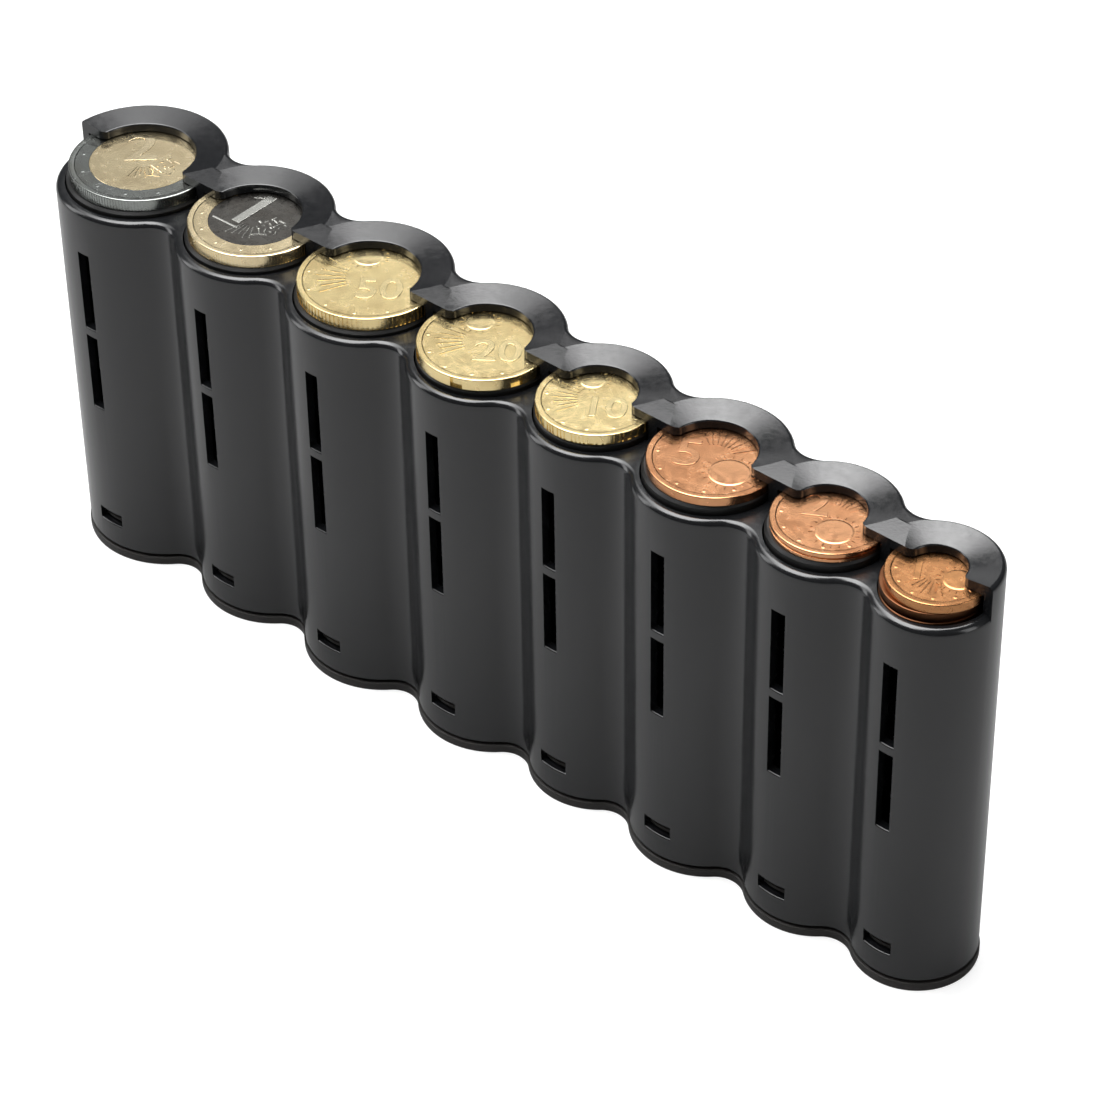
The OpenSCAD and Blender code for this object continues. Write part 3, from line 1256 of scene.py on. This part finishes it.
    def low_disc(self, centre: Pair, radius: float, height: float) -> Piece:
        """Low round boss whose edge slopes.

        Args:
            centre: Its centre on the face.
            radius: Its radius.
            height: Its height over the field.

        Returns:
            The closed form.
        """
        slope = min(radius * self.slope_share, self.slope_run * height)
        profile = [(radius, self.field_z - self.root)]
        profile += [
            (radius - slope * inward, self.field_z + height * up) for inward, up in self.boss_slope
        ]
        profile.append((radius * self.crown, self.field_z + height))
        return turned("boss", profile, centre, self.dot_sides if radius < 1 else self.boss_sides)

    def bar(self, start: Vector, end: Vector, width: float) -> Piece:
        """Fine raised line between two points of the face.

        Args:
            start: First end.
            end: Second end.
            width: Its width.

        Returns:
            The closed form.
        """
        low, high = self.field_z - self.root, self.field_z + self.bar_h
        along = (end - start).normalized()
        side = Vector((-along.y, along.x)) * width / 2
        corners = [start - side, end - side, end + side, start + side]
        piece = plate("bar", [tuple(corner) for corner in corners], low, high)
        round_top(piece, high, width * 0.3, 1)
        return piece

    def relief_parts(self) -> list[Piece]:
        """All that stands on the coin's upper face."""
        kind = self.kind
        parts = [self.number_relief()]
        x, y, radius = kind.boss
        if radius:
            parts.append(self.low_disc((x, y), radius, self.boss_h))
            near, far, width = self.tick
            for n in range(self.ticks):
                middle, out = Vector((x, y)), ray(n * math.pi * 2 / self.ticks)
                start, end = middle + out * (radius + near), middle + out * (radius + far)
                parts.append(self.bar(start, end, width))
        direction, near, far, count = kind.fan
        for n in range(count):
            out = ray(math.radians(direction + (n - (count - 1) / 2) * self.fan_step))
            end = out * (far - self.fan_stagger * (n % 3))
            parts.append(self.bar(out * near, end, self.fan_w))
        for x0, y0, x1, y1 in kind.strokes:
            parts.append(self.bar(Vector((x0, y0)), Vector((x1, y1)), self.stroke_w))
        return parts + self.fleck_parts()

    def fleck_parts(self) -> list[Piece]:
        """Short bars of uneven size that cross in a patch, closer towards its middle."""
        x, y, reach, count = self.kind.flecks
        parts = []
        for n in range(count):
            angle, out = self.fleck_turn * n, reach * math.sqrt((n + 0.5) / count)
            along, across = out * math.cos(angle), self.fleck_stretch * out * math.sin(angle)
            place = Vector((x + along, y + across))
            half = ray(5 * angle) * (self.fleck_half[0] + self.fleck_half[1] * (n % 4))
            width = self.fleck_w[0] + self.fleck_w[1] * (n % 3)
            parts.append(self.bar(place - half, place + half, width))
        return parts

    def dot_parts(self, at: float) -> list[Piece]:
        """Small dots all round the face.

        Args:
            at: Radius of the circle that they lie on.

        Returns:
            The closed forms.
        """
        angles = [2 * math.pi * n / self.kind.dots for n in range(self.kind.dots)]
        places = [(at * math.cos(angle), at * math.sin(angle)) for angle in angles]
        return [self.low_disc(place, self.dot_r, self.dot_h) for place in places]

    def dress(self, piece: Piece, finish: Finish) -> Piece:
        """Shades a part of the coin and gives it its finish."""
        smooth(piece, STRUCK_SHARP)
        return paint(piece, finish)

    def ring(self) -> Piece:
        """Outer ring, or the whole coin where it is of one metal, with its raised work."""
        body = self.dress(self.blank(), self.face)
        if self.core_r:
            marks = self.dot_parts((self.core_r + self.radius - self.rim_w) / 2)
        else:
            marks = self.relief_parts() + self.dot_parts(self.radius - self.rim_w - self.dot_in)
        relief = self.dress(join("relief", marks), self.relief)
        return join("ring", [body, relief])

    def core(self) -> Piece:
        """Inner disc of another metal with its raised work."""
        t, h, r, edge = self.thickness, self.rim_h, self.core_r - NEAR, self.core_edge
        profile = [(r - edge, h), (r, h + edge), (r, t - h - edge), (r - edge, t - h)]
        body = self.dress(turned("core", profile, (0, 0), self.core_sides), self.core_face)
        relief = self.dress(join("relief", self.relief_parts()), self.core_relief)
        return join("core", [body, relief])


def copy_of(piece: Piece, name: str) -> Piece:
    """Copies a piece with a mesh of its own.

    Args:
        piece: The piece to copy.
        name: Name of the copy.

    Returns:
        The copy.
    """
    take(piece)
    bpy.ops.object.duplicate(linked=False)
    twin = bpy.context.object
    twin.name = twin.data.name = name
    return twin


@dataclass
class CoinStack:
    """The coins of one tube, struck once and copied down the stack, each one turned in degrees;
    those under the top one get a dark copper that is painted shade.
    """

    row: Row
    maker: CoinMaker
    slots: tuple[str, str]
    words: tuple[str, ...]
    # Dark copper for the coins under the top one: painted shade standing in for the shade inside
    # the bore.
    shade_painted_finish: Finish
    turn_down: float = 67
    turn_along: float = 31

    def place(self, piece: Piece, node: str, turn: float) -> None:
        """Turns a coin about its axis and moves it to the place of its node.

        Args:
            piece: The coin, struck about the origin.
            node: Node of the solid model that it stands for.
            turn: Angle in degrees.
        """
        low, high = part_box(node)
        piece.rotation_euler = (0, 0, math.radians(turn))
        x, y, z = ((least + most) / 2 / MM for least, most in zip(low, high))
        piece.location = (x, y, z - self.maker.thickness / 2)
        apply_place(piece)

    def build(self) -> None:
        """Strikes, copies, places and dresses the coins."""
        i = self.maker.kind.number
        body = f"coin_stack_{i}"
        ring = self.maker.ring()
        core = self.maker.core() if self.maker.core_r else None
        for k, word in enumerate(self.words):
            turn = self.turn_down * k + self.turn_along * i if k else 0
            made = [(ring, f"{word}_coin_{i}", f"{word}_coin_{i}_struck")]
            if core:
                made = [
                    (ring, f"{word}_coin_ring_{i}", f"{word}_coin_{i}_ring"),
                    (core, f"{word}_coin_core_{i}", f"{word}_coin_{i}_core"),
                ]
            for (part, node, name), slot in zip(made, self.slots):
                piece = copy_of(part, name)
                # Painted shade: the coins under the top one are dressed in a darker copper instead
                # of being shaded by the bore.
                if k:
                    paint(piece, self.shade_painted_finish)
                self.place(piece, node, turn)
                settle(piece, body, node)
        for part in (ring, core):
            if part:
                bpy.data.objects.remove(part)


@dataclass(frozen=True)
class Viewpoint:
    """Camera in front of the right end, above the row."""

    place: Triple = (0.348277, -0.365229, 0.432964)
    yaw: float = 42.7769
    pitch: float = 38.2930
    roll: float = -0.9866
    lens: float = 126.534

    def set_up(self) -> None:
        """Adds the camera and makes it the scene's."""
        yaw, pitch, roll = (math.radians(a) for a in (self.yaw, self.pitch, self.roll))
        level = Vector((math.cos(yaw), math.sin(yaw), 0))
        across, down = math.cos(pitch), math.sin(pitch)
        ahead = Vector((-math.sin(yaw) * across, math.cos(yaw) * across, -down))
        upright = level.cross(ahead)
        right = math.cos(roll) * level + math.sin(roll) * upright
        up = -math.sin(roll) * level + math.cos(roll) * upright
        deselect()
        bpy.ops.object.camera_add()
        camera = bpy.context.object
        axes = Matrix((right, up, -ahead)).transposed().to_4x4()
        camera.matrix_world = Matrix.Translation(self.place) @ axes
        camera.data.lens = self.lens
        camera.data.sensor_width = 36
        camera.data.clip_start = 0.01
        camera.data.clip_end = 20
        bpy.context.scene.camera = camera


@dataclass(frozen=True)
class SoftBox:
    """Rectangular lamp, whose radiance is its brightness where it is mirrored, with 1 as white."""

    name: str
    place: Triple
    aim: Triple
    size: Pair
    radiance: float

    def add(self) -> None:
        """Adds the lamp, facing its aim."""
        deselect()
        bpy.ops.object.light_add(type="AREA", location=self.place)
        light = bpy.context.object
        light.name = self.name
        facing = (Vector(self.aim) - Vector(self.place)).to_track_quat("-Z", "Y")
        light.rotation_euler = facing.to_euler()
        light.data.shape = "RECTANGLE"
        light.data.size, light.data.size_y = self.size
        light.data.energy = self.radiance * math.pi * self.size[0] * self.size[1]


@dataclass
class Studio:
    """White floor, white surroundings and soft boxes of light, in metres.

    Each overhead step is a lamp's left and far edges and its radiance.
    """

    floor_size: float = 8
    floor_drop: float = 0.00005
    floor_glow: float = 0.75
    floor_paint: float = 0.37
    surround: float = 0.45
    mirrored: float = 0.09
    overhead_z: float = 0.79
    overhead_gap: float = 0.01
    overhead_near: float = -0.42
    overhead_right: float = 0.06
    overhead_steps: tuple[Triple, ...] = (
        (-0.8, 0.46, 1.7),
        (-0.62, 0.48, 2.0),
        (-0.48, 0.52, 2.6),
        (-0.37, 0.56, 2.4),
    )
    boxes: tuple[SoftBox, ...] = (
        SoftBox("back_box", (-0.7, 0.86, 0.8), (-0.7, 0.86, 0), (0.75, 0.26), 1.22),
        SoftBox("left_box", (-1.2, -0.7, 0.6), (0, 0, 0.04), (0.5, 1.1), 3.0),
        SoftBox("right_box", (1.2, 0.1, 0.55), (0, 0, 0.04), (0.4, 1.0), 2.0),
    )

    def floor(self) -> None:
        """Adds the floor, which shows nearly white and keeps the object's shadow."""
        deselect()
        place = (0, 0, -self.floor_drop)
        bpy.ops.mesh.primitive_plane_add(size=self.floor_size, location=place)
        floor = bpy.context.object
        floor.name = "studio_floor"
        apply_place(floor)
        material = bpy.data.materials.new("white_floor")
        material.use_nodes = True
        tree = material.node_tree
        tree.nodes.clear()
        path = add_node(tree, "ShaderNodeLightPath")
        strength = add_node(tree, "ShaderNodeMath", operation="MULTIPLY")
        strength.inputs[1].default_value = self.floor_glow
        glow = add_node(tree, "ShaderNodeEmission")
        grey = (self.floor_paint, self.floor_paint, self.floor_paint, 1)
        diffuse = add_node(tree, "ShaderNodeBsdfDiffuse", Color=grey)
        both = add_node(tree, "ShaderNodeAddShader")
        out = add_node(tree, "ShaderNodeOutputMaterial")
        tree.links.new(path.outputs["Is Camera Ray"], strength.inputs[0])
        tree.links.new(strength.outputs[0], glow.inputs["Strength"])
        tree.links.new(glow.outputs[0], both.inputs[0])
        tree.links.new(diffuse.outputs[0], both.inputs[1])
        tree.links.new(both.outputs[0], out.inputs["Surface"])
        floor.data.materials.append(material)

    def surroundings(self) -> None:
        """Sets the world: white where it is seen, and dimmer as a light and in reflections."""
        world = bpy.data.worlds.new("white_studio")
        bpy.context.scene.world = world
        world.use_nodes = True
        tree = world.node_tree
        tree.nodes.clear()
        path = add_node(tree, "ShaderNodeLightPath")
        unseen = add_node(tree, "ShaderNodeMapRange", To_Min=self.surround, To_Max=self.mirrored)
        strength = add_node(tree, "ShaderNodeMath", operation="MAXIMUM")
        back = add_node(tree, "ShaderNodeBackground")
        out = add_node(tree, "ShaderNodeOutputWorld")
        tree.links.new(path.outputs["Is Glossy Ray"], unseen.inputs["Value"])
        tree.links.new(unseen.outputs["Result"], strength.inputs[0])
        tree.links.new(path.outputs["Is Camera Ray"], strength.inputs[1])
        tree.links.new(strength.outputs[0], back.inputs["Strength"])
        tree.links.new(back.outputs[0], out.inputs["Surface"])

    def overhead(self) -> list[SoftBox]:
        """The lamps over the row, which share their near right corner and step up."""
        boxes = []
        for n, (left, far, radiance) in enumerate(self.overhead_steps, 1):
            x, y = (left + self.overhead_right) / 2, (self.overhead_near + far) / 2
            size = (self.overhead_right - left, far - self.overhead_near)
            place = (x, y, self.overhead_z + self.overhead_gap * n)
            boxes.append(SoftBox(f"overhead_box_{n}", place, (x, y, 0), size, radiance))
        return boxes

    def set_up(self) -> None:
        """Adds floor, surroundings and lights."""
        self.floor()
        self.surroundings()
        for box in (*self.overhead(), *self.boxes):
            box.add()


@dataclass
class CoinHolder:
    """The whole coin holder: mouldings, followers, springs and coins."""

    row: Row = field(default_factory=Row)
    kinds: tuple[CoinKind, ...] = (
        CoinKind(1, Edge.FINE_RIBS, Figure("2", 12.0, (-3.0, 2.4), 44), (0, 0, 0),
                 (-40, 2.2, 5.4, 7), 150, flecks=(4.4, 0.6, 2.4, 16)),
        CoinKind(2, Edge.FINE_RIBS, Figure("1", 13.0, (-2.2, 1.2), 2), (0, 0, 0),
                 (-78, 2.6, 6.2, 5), 140, flecks=(3.6, -0.4, 2.3, 18),
                 strokes=((-6.1, -4.2, -0.3, -4.0), (-5.0, 4.2, -3.0, 5.6))),
        CoinKind(3, Edge.COARSE_RIBS, Figure("50", 8.0, (3.6, -1.6), 38), (-4.4, 4.2, 2.6),
                 (215, 4.0, 9.0, 7), 96),
        CoinKind(4, Edge.NOTCHES, Figure("20", 8.0, (3.6, -1.0), 38), (-4.2, 3.4, 2.4),
                 (215, 3.6, 8.2, 7), 84),
        CoinKind(5, Edge.COARSE_RIBS, Figure("10", 7.2, (2.6, -1.2), 35), (-3.8, 3.2, 2.1),
                 (215, 3.2, 7.2, 7), 95),
        CoinKind(6, Edge.SMOOTH, Figure("5", 9.5, (-3.6, -2.0), 30), (4.3, -1.6, 3.3),
                 (100, 3.0, 8.0, 9), 72),
        CoinKind(7, Edge.GROOVE, Figure("2", 8.5, (-3.4, 0.8), 30), (2.7, -2.6, 3.0),
                 (95, 3.0, 6.8, 7), 72),
        CoinKind(8, Edge.SMOOTH, Figure("1", 7.5, (-2.6, -1.6), 30), (3.4, 0.4, 2.4),
                 (-80, 2.6, 5.8, 7), 64),
    )

    def finishes(self) -> dict[str, Finish]:
        """Makes every finish of the object once."""
        kinds = [
            MouldedPlastic("charcoal_plastic", (0.0072, 0.0077, 0.0086), 0.19, 0.000012, 0.7),
            MouldedPlastic("cover_plastic", (0.016, 0.0142, 0.013), 0.45),
            MouldedPlastic("follower_plastic", (0.005, 0.005, 0.005), 0.42),
            DrawnWire("spring_wire", (0.02, 0.02, 0.021)),
            StruckMetal("nickel_silver", (0.3, 0.315, 0.3), (0.18, 0.17, 0.14), 0.22),
            StruckMetal("nickel_silver_relief", (0.36, 0.375, 0.36), (0.24, 0.22, 0.19), 0.2, 0.5),
            StruckMetal("dark_nickel", (0.13, 0.125, 0.115), (0.07, 0.06, 0.05), 0.26),
            StruckMetal("dark_nickel_relief", (0.6, 0.6, 0.56), (0.26, 0.24, 0.2), 0.22, 0.6),
            StruckMetal("pale_brass", (0.88, 0.74, 0.47), (0.58, 0.45, 0.26), 0.22),
            StruckMetal("pale_brass_relief", (0.92, 0.78, 0.51), (0.68, 0.53, 0.32), 0.2, 0.5),
            StruckMetal("yellow_brass", (0.92, 0.74, 0.38), (0.62, 0.45, 0.2), 0.22),
            StruckMetal("yellow_brass_relief", (0.95, 0.78, 0.42), (0.7, 0.53, 0.25), 0.2, 0.5),
            StruckMetal("copper_plate", (0.72, 0.36, 0.18), (0.46, 0.19, 0.08), 0.22),
            StruckMetal("copper_plate_relief", (0.76, 0.39, 0.2), (0.52, 0.23, 0.11), 0.2, 0.5),
            StruckMetal("worn_copper", (0.53, 0.25, 0.105), (0.4, 0.18, 0.07), 0.24, 0.5),
            StruckMetal("worn_copper_relief", (0.6, 0.29, 0.12), (0.4, 0.17, 0.07), 0.22, 0.5),
            # Painted shade: dark brown copper for the coins under the top one in tube 8, in place
            # of the bore's shade on them.
            StruckMetal("shade_painted_copper", (0.2, 0.085, 0.04), (0.07, 0.03, 0.016), 0.32),
        ]
        return {kind.name: kind.make() for kind in kinds}

    def metals(self, i: int) -> tuple[str, str]:
        """Names of the outer and inner metal of coin i."""
        if i == 1:
            return "nickel_silver", "pale_brass"
        if i == 2:
            return "pale_brass", "dark_nickel"
        if i <= 5:
            return "yellow_brass", ""
        return ("copper_plate" if i <= 7 else "worn_copper"), ""

    def slots(self, i: int) -> tuple[str, str]:
        """Material slots of the record for the metals of coin i."""
        if i == 1:
            return "silver_metal", "gold_metal"
        if i == 2:
            return "gold_metal", "silver_metal"
        return ("gold_metal", "") if i <= 5 else ("copper_metal", "")

    def build(self, frame: dict) -> None:
        """Builds and dresses every piece.

        Args:
            frame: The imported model.
        """
        finish = self.finishes()
        TubeBlock(self.row, finish["charcoal_plastic"]).build()
        BaseCover(self.row, finish["cover_plastic"]).build()
        travel = {j["name"]: -min(j["range_m"]) for j in frame["joints"]}
        for i in self.row.tubes:
            follower = frame["nodes"][f"follower_{i}"]
            paint(follower, finish["follower_plastic"])
            LOG.info("follower_%d: %d faces, on coin_stack_%d", i, len(follower.data.polygons), i)
            TubeSpring(self.row, finish["spring_wire"], i, travel[f"tube_{i}_lift"]).build()
        for kind in self.kinds:
            outer, inner = self.metals(kind.number)
            maker = CoinMaker(
                self.row, kind, finish[outer], finish[f"{outer}_relief"],
                finish.get(inner), finish.get(f"{inner}_relief"),
            )
            words = ("top", "second", "third") if kind.number == 8 else ("top",)
            slots = self.slots(kind.number)
            # The last finish passed here is painted shade for the coins under the top one.
            CoinStack(self.row, maker, slots, words, finish["shade_painted_copper"]).build()


def main() -> None:
    """Loads the frame, sets up camera and studio, and builds the coin holder."""
    logging.basicConfig(level=logging.INFO, format="%(message)s", stream=sys.stdout)
    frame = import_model()
    Viewpoint().set_up()
    Studio().set_up()
    CoinHolder().build(frame)
    view = bpy.context.scene.view_settings
    view.view_transform = "Standard"
    deselect()


if __name__ == "__main__":
    main()
